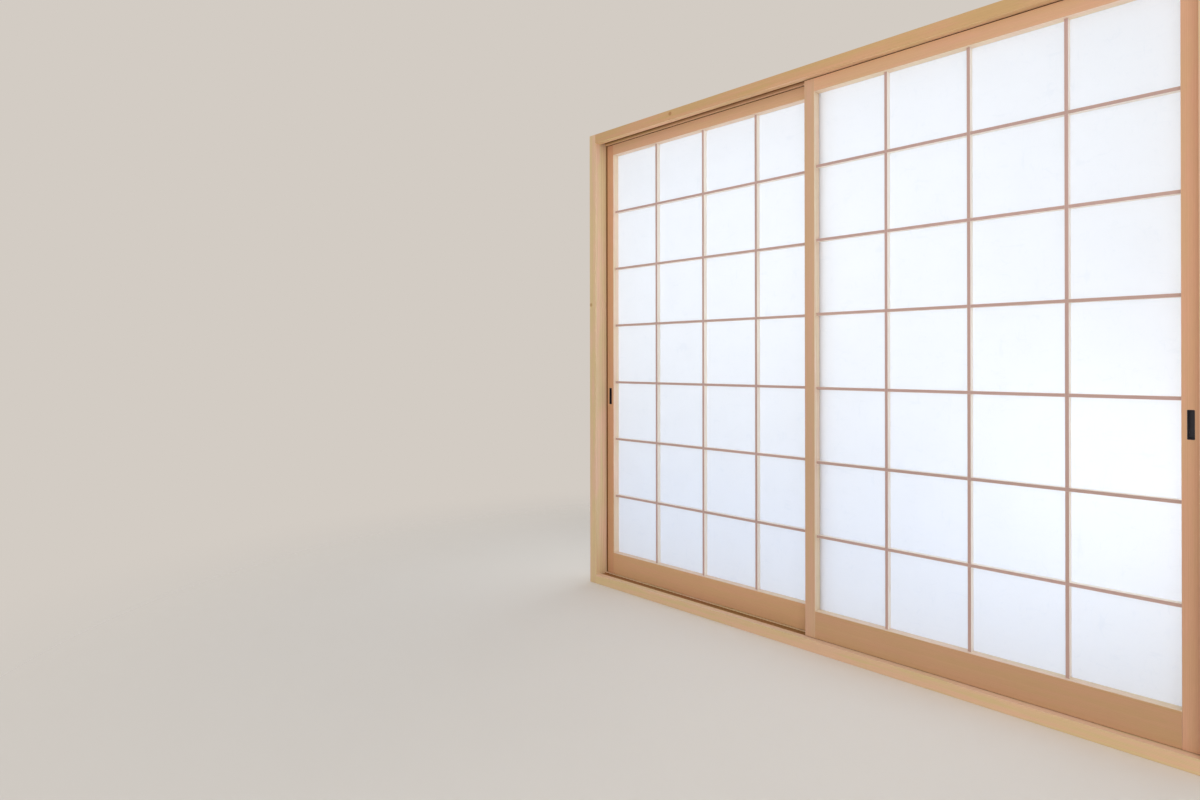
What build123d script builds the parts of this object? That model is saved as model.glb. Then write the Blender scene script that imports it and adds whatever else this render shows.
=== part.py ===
"""A pair of shoji sliding screens for a window, in their wooden frame.

Two paper-backed lattice panels slide past each other in the grooves of the head and the sill.
The right panel runs in the front track, on the room side, and is closed.
The left panel runs behind it, and stands a few millimetres off its jamb.
Millimetres. X runs along the opening, Y from the room into the wall, Z up.
The origin is at the bottom centre of the frame.
"""

import os

from build123d import *

os.makedirs("parts", exist_ok=True)

# Lattice and paper
columns = 4
rows = 7
cell_width = 192.0
cell_height = 192.5
end_cell_height = 196.0
bar_face = 7.5
bar_depth = 15.0
bar_arris = 0.4
bar_tenon_length = 5.0
bar_tenon_shoulder = 1.5
bar_tenon_cheek = 3.0
paper_thickness = 0.5
paper_lap = 9.0
rebate_depth = 4.5

# Stiles and rails of a panel
panel_thickness = 30.0
stile_face = 30.0
top_rail_face = 36.0
bottom_rail_face = 73.0
rail_tenon_thickness = 9.0
rail_tenon_shoulder = 7.5
arris = 0.8

# Recessed pull in the outer stile of each panel
pull_width = 12.0
pull_height = 57.0
pull_depth = 9.0
pull_rim_width = 0.8
pull_rim_thickness = 1.0
pull_wall = 0.8
pull_corner = 1.5
pull_above_sill = 625.0

# Frame that holds both panels
jamb_face = 30.0
head_face = 31.0
sill_face = 30.0
front_lip = 24.0
back_lip = 22.0
groove_width = 21.0
head_groove_depth = 15.0
sill_groove_depth = 2.5
frame_tenon_length = 8.0
frame_tenon_shoulder = 3.0
frame_tenon_inset = 15.0

# Clearances
panel_gap = 3.0
groove_side_clearance = 1.25
running_clearance = 0.3
shoulder_gap_bottom = 1.5
shoulder_gap_top = 3.0
lift_room = 5.0
closing_gap = 0.5
left_panel_stands_open = 5.5

# Lattice and panel, worked out from the sizes above
column_pitch = cell_width + bar_face
row_pitch = cell_height + bar_face
inner_width = columns * column_pitch - bar_face
inner_height = (rows - 2) * row_pitch + bar_face + 2 * end_cell_height
panel_width = inner_width + 2 * stile_face
bar_tenon_face = bar_face - 2 * bar_tenon_shoulder
bar_tenon_depth = bar_depth - 2 * bar_tenon_cheek
tongue_thickness = groove_width - 2 * groove_side_clearance
tongue_height = shoulder_gap_top + head_groove_depth - lift_room
runner_height = shoulder_gap_bottom + sill_groove_depth - running_clearance

# Depths inside a panel, counted from the middle of its track
front_face = -panel_thickness / 2
back_face = panel_thickness / 2
paper_face = back_face - rebate_depth
bar_middle = paper_face - bar_depth / 2

# Frame across the wall
track_pitch = panel_thickness + panel_gap
frame_depth = front_lip + groove_width + track_pitch + back_lip
front_track = -frame_depth / 2 + front_lip + groove_width / 2
back_track = front_track + track_pitch

# Frame along the opening
opening_width = 2 * panel_width - stile_face + 2 * closing_gap
left_panel_edge = -opening_width / 2 + closing_gap + left_panel_stands_open
right_panel_edge = opening_width / 2 - closing_gap - panel_width

# Heights above the underside of the sill
panel_bottom = sill_face + shoulder_gap_bottom
lattice_bottom = panel_bottom + bottom_rail_face
lattice_top = lattice_bottom + inner_height
lattice_middle = (lattice_bottom + lattice_top) / 2
panel_top = lattice_top + top_rail_face
head_bottom = panel_top + shoulder_gap_top
frame_height = head_bottom + head_face
pull_middle = sill_face + pull_above_sill

# Stub tenons of the sill and the head, in the solid wood beyond their grooves
frame_tenon_width = frame_depth - 2 * frame_tenon_inset
sill_web = sill_face - sill_groove_depth
head_web = head_face - head_groove_depth


def save(part, label):
    """Label a finished piece and write it to its own file."""
    part.label = label
    export_step(part, f"parts/{label}.step")


def front_edges(piece, along):
    """The long edges of a piece on its room side, which carry a fine chamfer."""
    return piece.edges().filter_by(along).group_by(Axis.Y)[0]


def sill_tenon_outline():
    """End view of the stub tenon that ties the sill to a jamb."""
    with Locations((0, sill_web / 2)):
        Rectangle(frame_tenon_width, sill_web - 2 * frame_tenon_shoulder)


def head_tenon_outline():
    """End view of the stub tenon that ties the head to a jamb."""
    with Locations((0, frame_height - head_web / 2)):
        Rectangle(frame_tenon_width, head_web - 2 * frame_tenon_shoulder)


def make_jamb(inner_x, outward):
    """Upright of the frame, at full height, with the sill and the head housed in its inner face."""
    with BuildPart() as jamb:
        with BuildSketch(Plane.XY):
            with Locations((inner_x + outward * jamb_face / 2, 0)):
                Rectangle(jamb_face, frame_depth)
        extrude(amount=frame_height)
        chamfer(front_edges(jamb, Axis.Z), arris)
        with BuildSketch(Plane.YZ.offset(inner_x)):
            sill_tenon_outline()
            head_tenon_outline()
        extrude(amount=outward * frame_tenon_length, mode=Mode.SUBTRACT)
    return jamb.part


def make_sill():
    """Bottom member, with a shallow groove for the runner of each panel."""
    with BuildPart() as sill:
        with BuildSketch(Plane.YZ.offset(-opening_width / 2)):
            with Locations((0, sill_face / 2)):
                Rectangle(frame_depth, sill_face)
            with Locations((front_track, sill_face), (back_track, sill_face)):
                Rectangle(groove_width, 2 * sill_groove_depth, mode=Mode.SUBTRACT)
        extrude(amount=opening_width)
        chamfer(front_edges(sill, Axis.X), arris)
        with BuildSketch(Plane.YZ.offset(-opening_width / 2 - frame_tenon_length)):
            sill_tenon_outline()
        extrude(amount=opening_width + 2 * frame_tenon_length)
    return sill.part


def make_head():
    """Top member, with a deep groove for the tongue of each panel."""
    with BuildPart() as head:
        with BuildSketch(Plane.YZ.offset(-opening_width / 2)):
            with Locations((0, head_bottom + head_face / 2)):
                Rectangle(frame_depth, head_face)
            with Locations((front_track, head_bottom), (back_track, head_bottom)):
                Rectangle(groove_width, 2 * head_groove_depth, mode=Mode.SUBTRACT)
        extrude(amount=opening_width)
        chamfer(front_edges(head, Axis.X), arris)
        with BuildSketch(Plane.YZ.offset(-opening_width / 2 - frame_tenon_length)):
            head_tenon_outline()
        extrude(amount=opening_width + 2 * frame_tenon_length)
    return head.part


def tongue_outline(track):
    """Side view of the tongue that stands up into the head."""
    with Locations((track, panel_top + tongue_height / 2)):
        Rectangle(tongue_thickness, tongue_height)


def runner_outline(track):
    """Side view of the runner that slides in the sill."""
    with Locations((track, panel_bottom - runner_height / 2)):
        Rectangle(tongue_thickness, runner_height)


def top_tenon_outline(track):
    """End view of the through tenon of the top rail."""
    with Locations((track, lattice_top + top_rail_face / 2)):
        Rectangle(rail_tenon_thickness, top_rail_face - 2 * rail_tenon_shoulder)


def bottom_tenon_outline(track):
    """End view of the through tenon of the bottom rail."""
    with Locations((track, lattice_bottom - bottom_rail_face / 2)):
        Rectangle(rail_tenon_thickness, bottom_rail_face - 2 * rail_tenon_shoulder)


def pull_rim_outline():
    """Front view of the flat rim of a pull."""
    RectangleRounded(pull_width, pull_height, pull_corner)


def pull_cup_outline():
    """Outside of the cup behind the rim."""
    cup_width = pull_width - 2 * pull_rim_width
    cup_height = pull_height - 2 * pull_rim_width
    RectangleRounded(cup_width, cup_height, pull_corner - pull_rim_width / 2)


def make_pull_blank(track, middle_x):
    """Outside of a pull, rim and cup, which is also the shape of its pocket in the stile."""
    front = Plane.XZ.offset(-(track + front_face))
    with BuildPart() as blank:
        with BuildSketch(front):
            with Locations((middle_x, pull_middle)):
                pull_rim_outline()
        extrude(amount=-pull_rim_thickness)
        with BuildSketch(front):
            with Locations((middle_x, pull_middle)):
                pull_cup_outline()
        extrude(amount=-pull_depth)
    return blank.part


def cut_pull_pocket(stile, track, middle_x):
    """A stile with the pocket that its pull is pressed into."""
    pocket = make_pull_blank(track, middle_x)
    with BuildPart() as cut:
        add(stile)
        add(pocket, mode=Mode.SUBTRACT)
    return cut.part


def make_stile(track, left_x, inward, has_pull):
    """Upright of a panel, with through mortises for the rails and blind ones for the bars."""
    inner_x = left_x + stile_face if inward > 0 else left_x
    with BuildPart() as stile:
        with BuildSketch(Plane.YZ.offset(left_x)):
            with Locations((track, (panel_bottom + panel_top) / 2)):
                Rectangle(panel_thickness, panel_top - panel_bottom)
            tongue_outline(track)
            runner_outline(track)
        extrude(amount=stile_face)
        chamfer(front_edges(stile, Axis.Z), arris)
        with BuildSketch(Plane.YZ.offset(left_x)):
            top_tenon_outline(track)
            bottom_tenon_outline(track)
        extrude(amount=stile_face, mode=Mode.SUBTRACT)
        with BuildSketch(Plane.YZ.offset(inner_x)):
            with Locations((track + bar_middle, lattice_middle)):
                with GridLocations(0, row_pitch, 1, rows - 1):
                    Rectangle(bar_tenon_depth, bar_tenon_face)
        extrude(amount=-inward * bar_tenon_length, mode=Mode.SUBTRACT)
        with BuildSketch(Plane.XZ.offset(-(track + back_face))):
            with Locations((inner_x - inward * paper_lap / 2, lattice_middle)):
                Rectangle(paper_lap, inner_height + 2 * paper_lap)
        extrude(amount=rebate_depth, mode=Mode.SUBTRACT)
    if not has_pull:
        return stile.part
    return cut_pull_pocket(stile.part, track, left_x + stile_face / 2)


def make_top_rail(track, panel_edge):
    """Rail under the head, with its tongue, its paper rebate and the mortises of the vertical bars."""
    with BuildPart() as rail:
        with BuildSketch(Plane.YZ.offset(panel_edge + stile_face)):
            with Locations((track, lattice_top + top_rail_face / 2)):
                Rectangle(panel_thickness, top_rail_face)
            tongue_outline(track)
            with Locations((track + back_face, lattice_top)):
                Rectangle(2 * rebate_depth, 2 * paper_lap, mode=Mode.SUBTRACT)
        extrude(amount=inner_width)
        chamfer(front_edges(rail, Axis.X), arris)
        with BuildSketch(Plane.YZ.offset(panel_edge)):
            top_tenon_outline(track)
        extrude(amount=panel_width)
        with BuildSketch(Plane.XY.offset(lattice_top)):
            vertical_tenon_grid(track, panel_edge)
        extrude(amount=bar_tenon_length, mode=Mode.SUBTRACT)
    return rail.part


def make_bottom_rail(track, panel_edge):
    """Deep rail at the foot, with its runner, its paper rebate and the mortises of the vertical bars."""
    with BuildPart() as rail:
        with BuildSketch(Plane.YZ.offset(panel_edge + stile_face)):
            with Locations((track, lattice_bottom - bottom_rail_face / 2)):
                Rectangle(panel_thickness, bottom_rail_face)
            runner_outline(track)
            with Locations((track + back_face, lattice_bottom)):
                Rectangle(2 * rebate_depth, 2 * paper_lap, mode=Mode.SUBTRACT)
        extrude(amount=inner_width)
        chamfer(front_edges(rail, Axis.X), arris)
        with BuildSketch(Plane.YZ.offset(panel_edge)):
            bottom_tenon_outline(track)
        extrude(amount=panel_width)
        with BuildSketch(Plane.XY.offset(lattice_bottom)):
            vertical_tenon_grid(track, panel_edge)
        extrude(amount=-bar_tenon_length, mode=Mode.SUBTRACT)
    return rail.part


def vertical_tenon_grid(track, panel_edge):
    """Plan view of the stub tenons of all vertical bars of a panel."""
    with Locations((panel_edge + panel_width / 2, track + bar_middle)):
        with GridLocations(column_pitch, 0, columns - 1, 1):
            Rectangle(bar_tenon_face, bar_tenon_depth)


def bar_x(panel_edge, column):
    """Middle of a vertical bar, counted from 1 at the left."""
    return panel_edge + stile_face + column * column_pitch - bar_face / 2


def bar_z(row):
    """Middle of a horizontal bar, counted from 1 at the bottom."""
    return lattice_bottom + end_cell_height + bar_face / 2 + (row - 1) * row_pitch


def vertical_is_in_front(column, row):
    """The bars are woven: at every second crossing the vertical one passes on the room side."""
    return (column + row) % 2 == 0


def make_vertical_bar(track, panel_edge, column):
    """Upright lattice bar, notched to half its depth at every crossing, with a stub tenon at each end."""
    middle_x = bar_x(panel_edge, column)
    with BuildPart() as bar:
        with BuildSketch(Plane.YZ.offset(middle_x)):
            with Locations((track + bar_middle, lattice_middle)):
                Rectangle(bar_depth, inner_height)
        extrude(amount=bar_face / 2, both=True)
        chamfer(front_edges(bar, Axis.Z), bar_arris)
        with BuildSketch(Plane.YZ.offset(middle_x)):
            with Locations((track + bar_middle, lattice_middle)):
                Rectangle(bar_tenon_depth, inner_height + 2 * bar_tenon_length)
        extrude(amount=bar_tenon_face / 2, both=True)
        with BuildSketch(Plane.YZ.offset(middle_x)):
            for row in range(1, rows):
                notched_side = 1 if vertical_is_in_front(column, row) else -1
                with Locations((track + bar_middle + notched_side * bar_depth / 4, bar_z(row))):
                    Rectangle(bar_depth / 2, bar_face)
        extrude(amount=bar_face / 2, both=True, mode=Mode.SUBTRACT)
    return bar.part


def make_horizontal_bar(track, panel_edge, row):
    """Level lattice bar, notched on the sides that the vertical bars leave, with a tenon at each end."""
    middle_x = panel_edge + panel_width / 2
    with BuildPart() as bar:
        with BuildSketch(Plane.XY.offset(bar_z(row))):
            with Locations((middle_x, track + bar_middle)):
                Rectangle(inner_width, bar_depth)
        extrude(amount=bar_face / 2, both=True)
        chamfer(front_edges(bar, Axis.X), bar_arris)
        with BuildSketch(Plane.XY.offset(bar_z(row))):
            with Locations((middle_x, track + bar_middle)):
                Rectangle(inner_width + 2 * bar_tenon_length, bar_tenon_depth)
        extrude(amount=bar_tenon_face / 2, both=True)
        with BuildSketch(Plane.XY.offset(bar_z(row))):
            for column in range(1, columns):
                notched_side = -1 if vertical_is_in_front(column, row) else 1
                notch_y = track + bar_middle + notched_side * bar_depth / 4
                with Locations((bar_x(panel_edge, column), notch_y)):
                    Rectangle(bar_face, bar_depth / 2)
        extrude(amount=bar_face / 2, both=True, mode=Mode.SUBTRACT)
    return bar.part


def make_paper(track, panel_edge):
    """One sheet, glued to the backs of the bars and lapped into the rebates all round."""
    with BuildPart() as paper:
        with BuildSketch(Plane.XZ.offset(-(track + paper_face))):
            with Locations((panel_edge + panel_width / 2, lattice_middle)):
                Rectangle(inner_width + 2 * paper_lap, inner_height + 2 * paper_lap)
        extrude(amount=-paper_thickness)
    return paper.part


def make_pull(track, middle_x):
    """Shallow cup for the fingertips, with a thin rim that lies flush with the stile."""
    blank = make_pull_blank(track, middle_x)
    finger_width = pull_width - 2 * (pull_rim_width + pull_wall)
    finger_height = pull_height - 2 * (pull_rim_width + pull_wall)
    with BuildPart() as pull:
        add(blank)
        with BuildSketch(Plane.XZ.offset(-(track + front_face))):
            with Locations((middle_x, pull_middle)):
                RectangleRounded(finger_width, finger_height, pull_corner / 2)
        extrude(amount=-(pull_depth - pull_wall), mode=Mode.SUBTRACT)
    return pull.part


def save_panel(name, track, panel_edge, pull_on_right):
    """All pieces of one panel."""
    right_stile_edge = panel_edge + panel_width - stile_face
    pull_edge = right_stile_edge if pull_on_right else panel_edge
    save(make_stile(track, panel_edge, 1, not pull_on_right), f"{name}_left_stile")
    save(make_stile(track, right_stile_edge, -1, pull_on_right), f"{name}_right_stile")
    save(make_top_rail(track, panel_edge), f"{name}_top_rail")
    save(make_bottom_rail(track, panel_edge), f"{name}_bottom_rail")
    for column in range(1, columns):
        save(make_vertical_bar(track, panel_edge, column), f"{name}_vertical_bar_{column}")
    for row in range(1, rows):
        save(make_horizontal_bar(track, panel_edge, row), f"{name}_horizontal_bar_{row}")
    save(make_paper(track, panel_edge), f"{name}_paper")
    save(make_pull(track, pull_edge + stile_face / 2), f"{name}_pull")


save(make_jamb(-opening_width / 2, -1), "left_jamb")
save(make_jamb(opening_width / 2, 1), "right_jamb")
save(make_sill(), "sill")
save(make_head(), "head")
save_panel("left_panel", back_track, left_panel_edge, pull_on_right=False)
save_panel("right_panel", front_track, right_panel_edge, pull_on_right=True)
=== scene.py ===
"""Looks for a pair of shoji sliding screens in their wooden frame.

Metres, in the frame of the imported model: X along the opening, Y from the room to the window side, Z up.
Every wooden member gets its own straight-grained softwood, with the rings cut from one solid pattern,
so that the grain runs along the member, shows on all its sides and ends in arcs on its end grain.
"""

import math
import random

import bpy
from mathutils import Matrix, Vector


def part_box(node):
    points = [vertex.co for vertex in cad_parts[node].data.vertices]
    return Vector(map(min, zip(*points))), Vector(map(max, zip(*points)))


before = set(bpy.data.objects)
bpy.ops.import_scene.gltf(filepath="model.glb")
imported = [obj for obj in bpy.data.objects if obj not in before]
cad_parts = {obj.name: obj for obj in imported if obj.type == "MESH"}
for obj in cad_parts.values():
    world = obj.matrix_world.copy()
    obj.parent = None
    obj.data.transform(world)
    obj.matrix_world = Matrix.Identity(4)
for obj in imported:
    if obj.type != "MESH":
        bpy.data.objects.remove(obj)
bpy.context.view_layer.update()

# Camera of the photograph, with its sensor and lens in millimetres
sensor_width = 36.0
lens = 22.555
camera_place = Vector((1.1084, -1.8321, 0.7773))
camera_yaw = math.radians(47.377)
camera_pitch = math.radians(0.078)
camera_roll = math.radians(-0.085)
camera_shift = (0.0024, -0.0329)
camera_near = 0.05

# Wood: sRGB colours of the pale and the dark part of a ring, of two kinds of broad streak, and of the tint
# on the faces that look into the room or out of the window. That tint is partly the tan that light and
# handling give those faces and partly painted light: the sides, left without it, stay paler as if lit by
# the glowing paper.
frame_tones = {
    "pale": (244, 224, 200), "dark": (217, 178, 140), "pink": (245, 205, 176), "straw": (232, 211, 158),
    "tan": (246, 238, 226),
}
head_tones = {
    "pale": (241, 213, 180), "dark": (208, 164, 122), "pink": (240, 194, 158), "straw": (228, 198, 142),
    "tan": (234, 220, 203),
}
panel_tones = {
    "pale": (245, 230, 212), "dark": (222, 186, 154), "pink": (243, 215, 193), "straw": (238, 219, 186),
    "tan": (231, 199, 178),
}
# The lattice bars' pale colours are near white so that their sides show painted light from the glowing
# paper; their tan brings the fronts back down
lattice_tones = {
    "pale": (250, 246, 240), "dark": (237, 214, 195), "pink": (248, 238, 228), "straw": (247, 239, 224),
    "tan": (208, 180, 177),
}

# Boards whose front and back stand out from the others: factors on their red, green and blue. Most are the
# boards' own tone, but the left panel's top rail is made lighter as painted light where the head shades it,
# and the right panel's bottom rail darker as painted shade for the dimmer light low down.
board_tints_and_painted_light = {
    "right_panel_left_stile": (0.99, 1.07, 1.12),
    "left_panel_left_stile": (0.95, 0.9, 0.84),
    "left_panel_top_rail": (1.14, 1.22, 1.22),
    "right_panel_top_rail": (1.03, 1.07, 1.06),
    "left_panel_bottom_rail": (1.02, 1.03, 0.92),
    "right_panel_bottom_rail": (0.91, 0.93, 0.84),
}

# Ranges that each board's own values are drawn from: how far away its pith lies, on which side and how far
# round from there in degrees, how its grain slants, its places in the noises, and how much lighter it is
pith_distances = (0.14, 0.26)
pith_sides = (0, 180)
pith_turns = (-28, 28)
grain_slants = (-0.004, 0.004)
grain_shifts = (-40, 40)
ring_shifts = (0, 9)
board_shades = (-0.035, 0.035)

# Patterns in the wood: noise scale, detail, roughness, and the factor that draws them out along the grain
grain_patterns = {
    "wander": (9.0, 1.0, 0.5, 0.055),
    "ripple": (95.0, 2.0, 0.5, 0.055),
    "streak": (62.0, 2.0, 0.6, 0.012),
    "patch": (44.0, 2.0, 0.5, 0.16),
    "cloud": (7.0, 2.0, 0.5, 0.2),
    "fibre": (1700.0, 3.0, 0.65, 0.02),
    "fleck": (420.0, 1.0, 0.5, 0.16),
}

# Rings: their pitch, how far they stray to either side, how dark they are from a year's start to its end,
# and the noises by which that and the growth vary. Here and below, a noise is its scale, its detail and, if
# given, its roughness.
ring_pitch = 0.0021
ring_wander = 0.011
ring_ripple = 0.00055
ring_profile = ((0.0, 0.05), (0.5, 0.14), (0.84, 0.9), (0.93, 1.0), (1.0, 0.05))
ring_strengths = (0.15, 0.95)
strength_noise = (0.73, 0.0)
growth_noise = (70.0, 2.0)
growth_years = 5.0

# Colour of the wood: shares of what it is mixed from, and factors for the low and high end of each pattern
streak_part = 0.5
streak_stops = ((0.43, 0.0), (0.57, 1.0))
streak_share = 0.75
ring_share = 0.7
cloud_shades = (0.9, 1.1)
fibre_shades = (0.93, 1.07)
fleck_shades = (0.975, 1.025)
end_shades = (1.0, 0.8)

# Where a face counts as end grain, and where as front or back, by how far it looks that way
end_stops = ((0.6, 0.0), (0.9, 1.0))
front_tan_and_side_light_stops = ((0.3, 0.0), (0.95, 1.0))

# Surface of the wood. Here and below, a relief is the height and the strength of a bump.
wood_roughness = (0.46, 0.62)
ring_polish = 0.07
end_roughness = 0.16
fibre_height = 0.55
wood_relief = (0.00012, 0.8)
wood_specular = 0.38

# Edges of the wood
edge_bevel = 0.00035
edge_segments = 2
edge_angle = math.radians(35)
weld_reach = 0.000002

# Knots: the X and Z at which a branch runs through a board from front to back
knots = {"head": (-0.486, 1.562), "left_jamb": (-0.859, 0.977)}
knot_core = 0.004
knot_radius = 0.008
knot_reach = 0.03
knot_swell = 0.009
knot_tint = (0.72, 0.6, 0.48)

# Painted shade with some marks of use: dark bands in the grooves, on the jambs where the panels meet them,
# and on the tongues in the head, where the gaps round the panels fall into shade
rub_and_shade_colour = (0.4, 0.26, 0.15)
tongue_shade_and_rub_colour = (0.22, 0.11, 0.06)
rub_and_shade_fade = 0.0012
groove_half = 0.0105
panel_half = 0.015
shoulder_gap = 0.003
head_rub_and_shade_from = 0.004
head_rub_and_shade_full = 0.007
groove_reach = {"head": 0.017, "sill": 0.004, "left_jamb": 0.001, "right_jamb": 0.001}

# Paper. Its long fibres follow one level of three layers of noise, which are given by their scale and their
# factors along X, Y and Z.
paper_colour = (246, 249, 253)
paper_fibre_colour = (237, 242, 248)
paper_fibre_share = 0.35
paper_layers = ((52.0, (1.0, 0.0, 0.24)), (47.0, (0.22, 0.0, 1.0)), (120.0, (0.8, 0.0, 0.5)))
paper_layer_detail = 1.0
paper_layer_roughness = 0.4
paper_bend_noise = (26.0, 2.0)
paper_fibre_bend = 0.012
paper_fibre_level = 0.5
paper_fibre_stops = ((0.0, 1.0), (0.012, 0.0))
paper_patch_scale = 0.5
paper_patch_stops = ((0.5, 0.0), (0.62, 1.0))
paper_pulp_noise = (900.0, 3.0, 0.6)
paper_pulp_shades = (0.98, 1.015)
paper_pulp_height = 0.5
paper_cloud_noise = (14.0, 2.0)
paper_cloud_shades = (0.985, 1.01)
paper_relief = (0.00006, 0.7)
paper_roughness = (0.62, 0.8)
paper_specular = 0.22
paper_see_through = 0.7

# Pulls
pull_colour = (38, 36, 46)
pull_rubbed_colour = (74, 70, 84)
pull_rub_noise = (120.0, 3.0, 0.6)
pull_rub_stops = ((0.45, 0.0), (0.8, 0.3))
pull_grain_noise = (2600.0, 2.0)
pull_grain_roughness = 0.06
pull_roughness = (0.26, 0.4)
pull_relief = (0.00003, 0.6)
pull_specular = 0.5

# Floor
floor_colour = (243, 236, 226)
floor_radius = 24.0
floor_corners = 96
floor_fades_from = 0.95
floor_fades_to = 2.7
floor_cloud_noise = (1.7, 3.0)
floor_cloud_shades = (0.985, 1.015)
floor_grit_noise = (240.0, 3.0)
floor_relief = (0.0002, 0.4)
floor_roughness = 0.7
floor_specular = 0.2

# Studio, with its lamps: place, the point that they face, width and height, watts, colour, beam in degrees
background_colour = (211, 204, 196)
world_colour = (245, 249, 255)
world_strength = 0.56
lamps = {
    "room_light": ((2.2, -3.2, 1.7), (0.0, 0.0, 1.1), (3.2, 2.2), 38.0, (255, 248, 239), 180),
    "ceiling_light": ((0.5, -1.5, 3.0), (0.3, -0.2, 0.4), (2.4, 2.0), 5.0, (255, 249, 242), 180),
    "bounce_light": ((0.1, -1.2, 0.03), (0.1, -0.6, 1.6), (2.4, 1.0), 6.0, (255, 246, 236), 110),
    "window_light": ((-0.1, 1.0, 1.1), (-0.1, 0.0, 1.06), (2.4, 1.1), 12.2, (241, 247, 255), 150),
    "sky_light": ((-0.1, 0.6, 0.16), (-0.1, 0.0, 0.3), (1.8, 0.25), 0.8, (143, 189, 255), 90),
    "sun_patch": ((0.9, 0.6, 0.5), (0.66, 0.0, 0.5), (0.4, 0.4), 0.5, (252, 252, 252), 80),
}


def linear(colour):
    """An sRGB colour of 0 to 255 as a linear one with alpha, by the sRGB standard's own curve."""
    def channel(value):
        value /= 255
        return value / 12.92 if value <= 0.04045 else ((value + 0.055) / 1.055) ** 2.4
    return tuple(channel(value) for value in colour) + (1.0,)


class Nodes:
    """The node tree of a material or world, with short calls for the nodes used here."""

    def __init__(self, owner):
        self.owner = owner
        self.owner.use_nodes = True
        self.tree = owner.node_tree
        self.tree.nodes.clear()

    def node(self, kind, **settings):
        made = self.tree.nodes.new(kind)
        for setting, value in settings.items():
            setattr(made, setting, value)
        return made

    def put(self, socket, value):
        """Links a socket to another, or gives it a plain value."""
        if isinstance(value, bpy.types.NodeSocket):
            self.tree.links.new(value, socket)
        else:
            socket.default_value = value

    def fill(self, sockets, values):
        """Gives the first sockets their values, one each."""
        for socket, value in zip(sockets, values):
            self.put(socket, value)

    def math(self, operation, first, second=0.0):
        made = self.node("ShaderNodeMath", operation=operation)
        self.fill(made.inputs, (first, second))
        return made.outputs[0]

    def vector(self, operation, first, second=(0.0, 0.0, 0.0)):
        made = self.node("ShaderNodeVectorMath", operation=operation)
        self.fill(made.inputs, (first, second))
        return made.outputs["Value" if operation == "LENGTH" else "Vector"]

    def split(self, vector):
        made = self.node("ShaderNodeSeparateXYZ")
        self.put(made.inputs[0], vector)
        return made.outputs

    def join(self, x, y, z):
        made = self.node("ShaderNodeCombineXYZ")
        self.fill(made.inputs, (x, y, z))
        return made.outputs[0]

    def noise(self, vector, scale, detail, roughness=0.5, output="Fac"):
        """Noise about 0.5, from 0 to 1."""
        made = self.node("ShaderNodeTexNoise")
        self.put(made.inputs["Vector"], vector)
        self.put(made.inputs["Scale"], scale)
        self.put(made.inputs["Detail"], detail)
        self.put(made.inputs["Roughness"], roughness)
        return made.outputs[output]

    def grain(self, seat, scale, detail, roughness, squeeze):
        """Noise that is drawn out along the third coordinate of a seat."""
        return self.noise(self.vector("MULTIPLY", seat, (1.0, 1.0, squeeze)), scale, detail, roughness)

    def ramp(self, value, stops):
        """A grey ramp through (position, value) stops."""
        made = self.node("ShaderNodeValToRGB")
        ramp = made.color_ramp
        while len(ramp.elements) < len(stops):
            ramp.elements.new(1.0)
        for element, (position, grey) in zip(ramp.elements, stops):
            element.position = position
            element.color = (grey, grey, grey, 1.0)
        self.put(made.inputs[0], value)
        return made.outputs["Color"]

    def spread(self, value, low, high):
        """Maps 0 to 1 onto low to high."""
        made = self.node("ShaderNodeMapRange")
        self.put(made.inputs["Value"], value)
        self.put(made.inputs["To Min"], low)
        self.put(made.inputs["To Max"], high)
        return made.outputs["Result"]

    def rise(self, value, low, high):
        """Rises softly from 0 at low to 1 at high."""
        made = self.node("ShaderNodeMapRange", interpolation_type="SMOOTHSTEP")
        self.put(made.inputs["Value"], value)
        self.put(made.inputs["From Min"], low)
        self.put(made.inputs["From Max"], high)
        return made.outputs["Result"]

    def fade(self, value, low, high):
        """Falls softly from 1 at low to 0 at high."""
        return self.math("SUBTRACT", 1.0, self.rise(value, low, high))

    def weigh(self, share, first, second):
        """A share of the first value plus the rest of the second."""
        rest = self.math("MULTIPLY", second, 1 - share)
        return self.math("ADD", self.math("MULTIPLY", first, share), rest)

    def blend(self, share, first, second):
        """The first colour where the share is 0, and the second where it is 1."""
        made = self.node("ShaderNodeMix", data_type="RGBA")
        self.put(made.inputs["Factor"], share)
        self.put(made.inputs["A"], first)
        self.put(made.inputs["B"], second)
        return [socket for socket in made.outputs if socket.type == "RGBA"][0]

    def shade(self, colour, factor):
        """A colour times one factor."""
        return self.vector("MULTIPLY", colour, self.join(factor, factor, factor))

    def tint(self, share, colour, factors):
        """A colour times factors for its red, green and blue, as far as the share goes."""
        return self.blend(share, colour, self.vector("MULTIPLY", colour, factors))

    def bump(self, height, distance, strength):
        made = self.node("ShaderNodeBump")
        self.put(made.inputs["Strength"], strength)
        self.put(made.inputs["Distance"], distance)
        self.put(made.inputs["Height"], height)
        return made.outputs["Normal"]

    def principled(self, colour, roughness, normal, specular):
        made = self.node("ShaderNodeBsdfPrincipled")
        self.put(made.inputs["Base Color"], colour)
        self.put(made.inputs["Roughness"], roughness)
        self.put(made.inputs["Normal"], normal)
        self.put(made.inputs["Specular IOR Level"], specular)
        return made.outputs["BSDF"]

    def background(self, colour, strength):
        made = self.node("ShaderNodeBackground")
        self.put(made.inputs["Color"], linear(colour))
        self.put(made.inputs["Strength"], strength)
        return made.outputs["Background"]

    def mix(self, share, first, second):
        """The first shader where the share is 0, and the second where it is 1."""
        made = self.node("ShaderNodeMixShader")
        self.fill(made.inputs, (share, first, second))
        return made.outputs[0]

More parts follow.
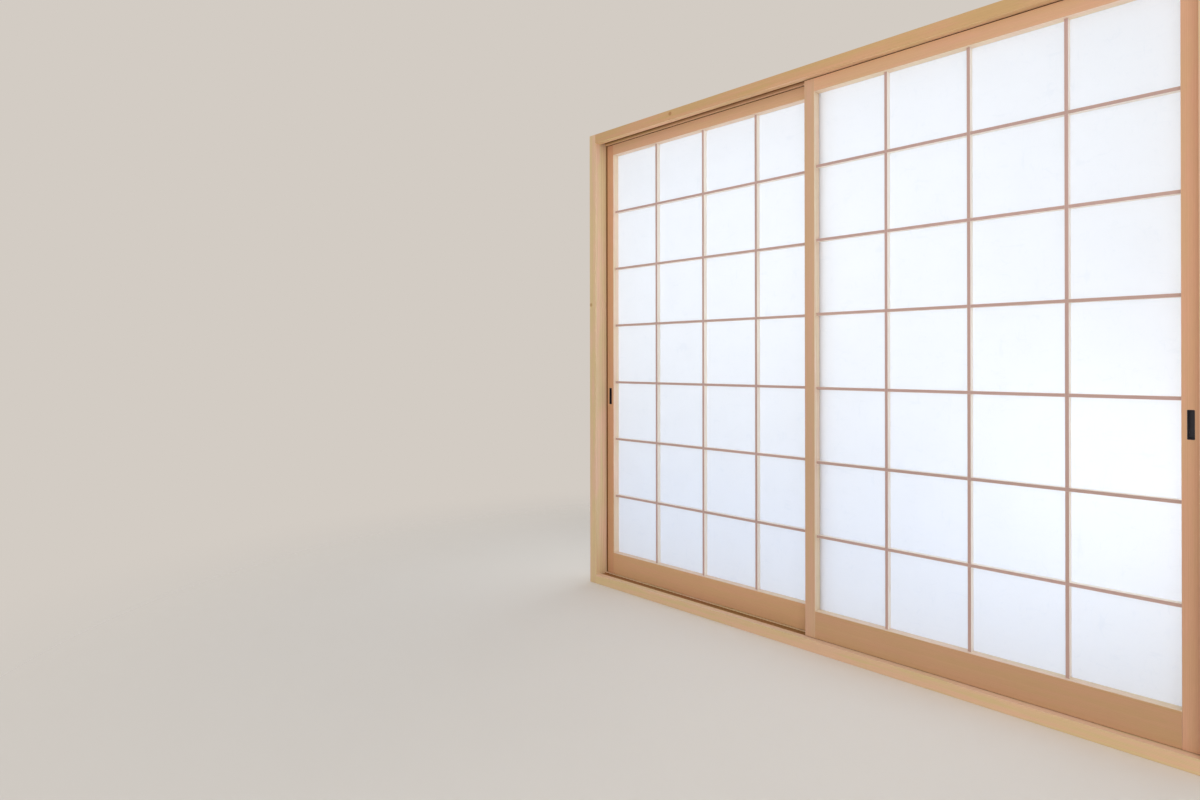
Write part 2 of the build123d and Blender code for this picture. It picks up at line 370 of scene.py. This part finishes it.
    def finish(self, shader, output="ShaderNodeOutputMaterial"):
        self.put(self.node(output).inputs["Surface"], shader)
        return self.owner


def track_band(n, y, panel, half):
    """1 within half a width of the middle of a panel's track, and 0 outside it."""
    low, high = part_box(f"{panel}_top_rail")
    away = n.math("ABSOLUTE", n.math("SUBTRACT", y, (low.y + high.y) / 2))
    return n.fade(away, half, half + rub_and_shade_fade)


def tongue_shade_and_rub_mark(n, z):
    """1 on the part of a panel that stands up past its shoulder into the head."""
    return n.math("GREATER_THAN", z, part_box("head")[0].z - shoulder_gap)


def rub_and_shade_mark(n, name, x, y, z, low, high):
    """How dark the painted shade and the rubbing of the panels make a member of the frame at a point, from
    0 to 1.
    """
    panels = ["left_panel", "right_panel"]
    half = groove_half
    if name.endswith("jamb"):
        panels = [name.replace("jamb", "panel")]
        half = panel_half
    bands = [track_band(n, y, panel, half) for panel in panels]
    band = n.math("MAXIMUM", bands[0], bands[-1])
    into = {
        "head": n.math("SUBTRACT", z, low.z),
        "sill": n.math("SUBTRACT", high.z, z),
        "left_jamb": n.math("SUBTRACT", high.x, x),
        "right_jamb": n.math("SUBTRACT", x, low.x),
    }[name]
    if name == "head":
        band = n.math("MULTIPLY", band, n.rise(into, head_rub_and_shade_from, head_rub_and_shade_full))
    return n.math("MULTIPLY", band, n.math("LESS_THAN", into, groove_reach[name]))


def pith_radius(n, chance, across, depth, length):
    """Distance to the pith, which lies well outside the member and runs at a slight slant to it."""
    distance = chance.uniform(*pith_distances)
    angle = math.radians(chance.choice(pith_sides) + chance.uniform(*pith_turns))
    run_out = n.math("MULTIPLY", length, chance.uniform(*grain_slants))
    across = n.math("ADD", across, n.math("ADD", run_out, distance * math.cos(angle)))
    depth = n.math("ADD", depth, distance * math.sin(angle))
    return n.vector("LENGTH", n.join(across, depth, 0.0))


def growth_rings(n, chance, radius):
    """How dark the rings are at a distance from the pith, from 0 to 1.

    Growth varies from year to year, so the rings stand closer in some stretches than in others.
    """
    growth_seat = n.join(n.math("ADD", radius, chance.uniform(*ring_shifts)), 0.0, 0.0)
    growth = n.math("MULTIPLY", n.noise(growth_seat, *growth_noise), growth_years)
    years = n.math("ADD", n.math("DIVIDE", radius, ring_pitch), growth)
    strength_seat = n.join(n.math("FLOOR", years), chance.uniform(*ring_shifts), 0.0)
    strength = n.spread(n.noise(strength_seat, *strength_noise), *ring_strengths)
    return n.math("MULTIPLY", n.ramp(n.math("FRACT", years), ring_profile), strength)


def sawn_colour(n, tones, pattern, ring):
    """The colour of fresh wood: rings over broad pink and straw-coloured streaks."""
    streak = n.ramp(n.weigh(streak_part, pattern["streak"], pattern["patch"]), streak_stops)
    body = n.blend(streak, linear(tones["straw"]), linear(tones["pink"]))
    body = n.blend(streak_share, linear(tones["pale"]), body)
    return n.blend(n.math("MULTIPLY", ring, ring_share), body, linear(tones["dark"]))


def make_wood(name, low, high):
    """Straight-grained softwood for one member, whose corners are low and high."""
    chance = random.Random(name)
    tones = wood_tones(name)
    n = Nodes(bpy.data.materials.new(f"wood_{name}"))
    place = n.node("ShaderNodeTexCoord")
    x, y, z = n.split(place.outputs["Object"])
    normal_x, normal_y, normal_z = n.split(place.outputs["Normal"])

    # Across the face, into the wood and along the grain, counted from the middle of the member
    middle = (low + high) / 2
    across = n.math("SUBTRACT", x, middle.x)
    depth = n.math("SUBTRACT", y, middle.y)
    length = n.math("SUBTRACT", z, middle.z)
    end_normal = normal_z
    if not stands_upright(name):
        across, length = length, across
        end_normal = normal_x

    radius = pith_radius(n, chance, across, depth, length)
    seat = n.join(across, depth, n.math("ADD", length, chance.uniform(*grain_shifts)))
    pattern = {kind: n.grain(seat, *settings) for kind, settings in grain_patterns.items()}
    wander = n.spread(pattern["wander"], -ring_wander, ring_wander)
    ripple = n.spread(pattern["ripple"], -ring_ripple, ring_ripple)
    radius = n.math("ADD", radius, n.math("ADD", wander, ripple))
    if name in knots:
        knot_x, knot_z = knots[name]
        from_knot = n.join(n.math("SUBTRACT", x, knot_x), 0.0, n.math("SUBTRACT", z, knot_z))
        from_knot = n.vector("LENGTH", from_knot)
        swell = n.math("MULTIPLY", n.fade(from_knot, 0.0, knot_reach), knot_swell)
        radius = n.math("ADD", radius, swell)
    ring = growth_rings(n, chance, radius)
    board = 1 + chance.uniform(*board_shades)
    end = n.ramp(n.math("ABSOLUTE", end_normal), end_stops)
    # Fronts and backs take the tan; the sides stay paler, partly as painted light from the glowing paper
    front = n.ramp(n.math("ABSOLUTE", normal_y), front_tan_and_side_light_stops)

    shade = n.spread(pattern["cloud"], board * cloud_shades[0], board * cloud_shades[1])
    shade = n.math("MULTIPLY", shade, n.spread(pattern["fibre"], *fibre_shades))
    shade = n.math("MULTIPLY", shade, n.spread(pattern["fleck"], *fleck_shades))
    shade = n.math("MULTIPLY", shade, n.spread(end, *end_shades))
    colour = n.shade(sawn_colour(n, tones, pattern, ring), shade)
    # Board factors: mostly the boards' own tone, with painted light on the left top rail and painted shade
    # on the right bottom rail
    board_tint_and_painted_light = board_tints_and_painted_light.get(name, (1.0, 1.0, 1.0))
    colour = n.tint(front, colour, [a * b for a, b in zip(linear(tones["tan"]), board_tint_and_painted_light)])
    if name in knots:
        colour = n.tint(n.fade(from_knot, knot_core, knot_radius), colour, knot_tint)
    # Painted shade, with some rubbing, in the grooves and on the jambs beside the panels
    if name in groove_reach:
        colour = n.tint(rub_and_shade_mark(n, name, x, y, z, low, high), colour, rub_and_shade_colour)
    # Painted shade: the tongues are darkened for the dark gap under the head, with some rubbing in the
    # groove
    if name.endswith(("stile", "top_rail")):
        colour = n.tint(tongue_shade_and_rub_mark(n, z), colour, tongue_shade_and_rub_colour)

    roughness = n.spread(pattern["fibre"], *wood_roughness)
    roughness = n.math("SUBTRACT", roughness, n.math("MULTIPLY", ring, ring_polish))
    roughness = n.math("ADD", roughness, n.math("MULTIPLY", end, end_roughness))
    normal = n.bump(n.weigh(fibre_height, pattern["fibre"], ring), *wood_relief)
    return n.finish(n.principled(colour, roughness, normal, wood_specular))


def paper_fibres(n, flat):
    """Long bent fibres that lie at random in the paper's plane, as 1 on each and 0 beside it."""
    reach = (paper_fibre_bend, 0.0, paper_fibre_bend)
    bend = n.noise(flat, *paper_bend_noise, output="Color")
    bent = n.vector("ADD", flat, n.vector("MULTIPLY", bend, reach))
    fibres = 0.0
    for scale, stretch in paper_layers:
        field = n.vector("MULTIPLY", bent, stretch)
        field = n.noise(field, scale, paper_layer_detail, paper_layer_roughness)
        line = n.math("ABSOLUTE", n.math("SUBTRACT", field, paper_fibre_level))
        line = n.ramp(line, paper_fibre_stops)
        patch = n.ramp(n.noise(flat, scale * paper_patch_scale, 0.0), paper_patch_stops)
        fibres = n.math("ADD", n.math("MULTIPLY", line, patch), fibres)
    return n.math("MINIMUM", fibres, 1.0)


def make_paper(name):
    """White screen paper: it lets light through, and long fibres lie in it at random."""
    n = Nodes(bpy.data.materials.new(f"paper_{name}"))
    place = n.node("ShaderNodeTexCoord").outputs["Object"]
    flat = n.vector("MULTIPLY", place, (1.0, 0.0, 1.0))
    fibres = paper_fibres(n, flat)
    pulp = n.noise(flat, *paper_pulp_noise)
    cloud = n.noise(flat, *paper_cloud_noise)
    fibre_share = n.math("MULTIPLY", fibres, paper_fibre_share)
    colour = n.blend(fibre_share, linear(paper_colour), linear(paper_fibre_colour))
    shade = n.math("MULTIPLY", n.spread(cloud, *paper_cloud_shades), n.spread(pulp, *paper_pulp_shades))
    colour = n.shade(colour, shade)
    normal = n.bump(n.weigh(paper_pulp_height, pulp, fibres), *paper_relief)
    front = n.principled(colour, n.spread(pulp, *paper_roughness), normal, paper_specular)
    through = n.node("ShaderNodeBsdfTranslucent")
    n.put(through.inputs["Color"], colour)
    n.put(through.inputs["Normal"], normal)
    return n.finish(n.mix(paper_see_through, front, through.outputs[0]))


def make_pull_finish(name):
    """Dark moulded plastic with a satin skin, a little paler where fingers rub it."""
    n = Nodes(bpy.data.materials.new(f"pull_{name}"))
    place = n.node("ShaderNodeTexCoord").outputs["Object"]
    grain = n.noise(place, *pull_grain_noise)
    rub = n.noise(place, *pull_rub_noise)
    colour = n.blend(n.ramp(rub, pull_rub_stops), linear(pull_colour), linear(pull_rubbed_colour))
    grit = n.math("MULTIPLY", grain, pull_grain_roughness)
    roughness = n.math("ADD", n.spread(rub, *pull_roughness), grit)
    return n.finish(n.principled(colour, roughness, n.bump(grain, *pull_relief), pull_specular))


def soften_edges(piece):
    """Rounds every sharp edge by a hair, as planing and handling do.

    The width isn't clamped, because the short edges round a pull's pocket would take it from all of the
    stile's edges.
    """
    weld = piece.modifiers.new("weld", "WELD")
    weld.merge_threshold = weld_reach
    bevel = piece.modifiers.new("edges", "BEVEL")
    bevel.width = edge_bevel
    bevel.segments = edge_segments
    bevel.limit_method = "ANGLE"
    bevel.angle_limit = edge_angle
    bevel.use_clamp_overlap = False


def give(piece, material):
    """Puts one material in all the material slots of a piece."""
    piece.data.materials.clear()
    piece.data.materials.append(material)


def stands_upright(name):
    """Whether a member has its grain along Z. The others are level, with their grain along X."""
    return "jamb" in name or "stile" in name or "vertical" in name


def wood_tones(name):
    """The frame is paler than the panels, and its head a little darker than its uprights."""
    if "_bar_" in name:
        return lattice_tones
    if "panel" in name:
        return panel_tones
    return head_tones if name == "head" else frame_tones


def dress(name, piece):
    """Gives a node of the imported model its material."""
    low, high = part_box(name)
    if name.endswith("paper"):
        give(piece, make_paper(name))
    elif name.endswith("pull"):
        give(piece, make_pull_finish(name))
    else:
        give(piece, make_wood(name, low, high))
        soften_edges(piece)


def make_floor():
    """A pale round floor that fades into the background far from the object."""
    mesh = bpy.data.meshes.new("floor")
    angles = [i * math.tau / floor_corners for i in range(floor_corners)]
    rim = [(floor_radius * math.cos(angle), floor_radius * math.sin(angle), 0.0) for angle in angles]
    mesh.from_pydata(rim, [], [list(range(floor_corners))])
    floor = bpy.data.objects.new("floor", mesh)
    bpy.context.scene.collection.objects.link(floor)
    n = Nodes(bpy.data.materials.new("floor"))
    place = n.node("ShaderNodeTexCoord").outputs["Object"]
    cloud = n.spread(n.noise(place, *floor_cloud_noise), *floor_cloud_shades)
    colour = n.shade(linear(floor_colour)[:3], cloud)
    normal = n.bump(n.noise(place, *floor_grit_noise), *floor_relief)
    matt = n.principled(colour, floor_roughness, normal, floor_specular)
    gone = n.node("ShaderNodeBsdfTransparent").outputs[0]
    far = n.rise(n.vector("LENGTH", place), floor_fades_from, floor_fades_to)
    give(floor, n.finish(n.mix(far, matt, gone)))


def make_world():
    """Even studio light from all round. Eyes and reflections see the pale background instead."""
    world = bpy.data.worlds.new("studio")
    bpy.context.scene.world = world
    n = Nodes(world)
    path = n.node("ShaderNodeLightPath").outputs
    seen = n.math("MAXIMUM", path["Is Camera Ray"], path["Is Glossy Ray"])
    seen = n.math("MAXIMUM", seen, path["Is Transmission Ray"])
    light = n.background(world_colour, world_strength)
    shown = n.background(background_colour, 1.0)
    n.finish(n.mix(seen, light, shown), "ShaderNodeOutputWorld")


def make_softbox(name, place, target, size, watts, colour, beam):
    """A rectangular lamp that faces a point, with a beam in degrees, and isn't seen itself."""
    data = bpy.data.lights.new(name, "AREA")
    data.shape = "RECTANGLE"
    data.size, data.size_y = size
    data.energy = watts
    data.color = linear(colour)[:3]
    data.spread = math.radians(beam)
    lamp = bpy.data.objects.new(name, data)
    lamp.location = place
    lamp.rotation_euler = (Vector(target) - Vector(place)).to_track_quat("-Z", "Y").to_euler()
    lamp.visible_camera = False
    lamp.visible_glossy = False
    bpy.context.scene.collection.objects.link(lamp)


def make_camera():
    """The photograph's own camera, in front of the screens' right end and turned to their left end."""
    forward = Vector((-math.sin(camera_yaw) * math.cos(camera_pitch),
                      math.cos(camera_yaw) * math.cos(camera_pitch), math.sin(camera_pitch)))
    right = Vector((math.cos(camera_yaw), math.sin(camera_yaw), 0.0))
    up = right.cross(forward)
    rolled_right = right * math.cos(camera_roll) + up * math.sin(camera_roll)
    rolled_up = up * math.cos(camera_roll) - right * math.sin(camera_roll)
    turn = Matrix((rolled_right, rolled_up, -forward)).transposed()
    data = bpy.data.cameras.new("camera")
    data.sensor_width = sensor_width
    data.lens = lens
    data.shift_x, data.shift_y = camera_shift
    data.clip_start = camera_near
    camera = bpy.data.objects.new("camera", data)
    camera.matrix_world = Matrix.Translation(camera_place) @ turn.to_4x4()
    bpy.context.scene.collection.objects.link(camera)
    bpy.context.scene.camera = camera


bpy.context.scene.view_settings.view_transform = "Standard"
for node_name, node_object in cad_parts.items():
    dress(node_name, node_object)
make_floor()
make_world()
for lamp_name, lamp_settings in lamps.items():
    make_softbox(lamp_name, *lamp_settings)
make_camera()
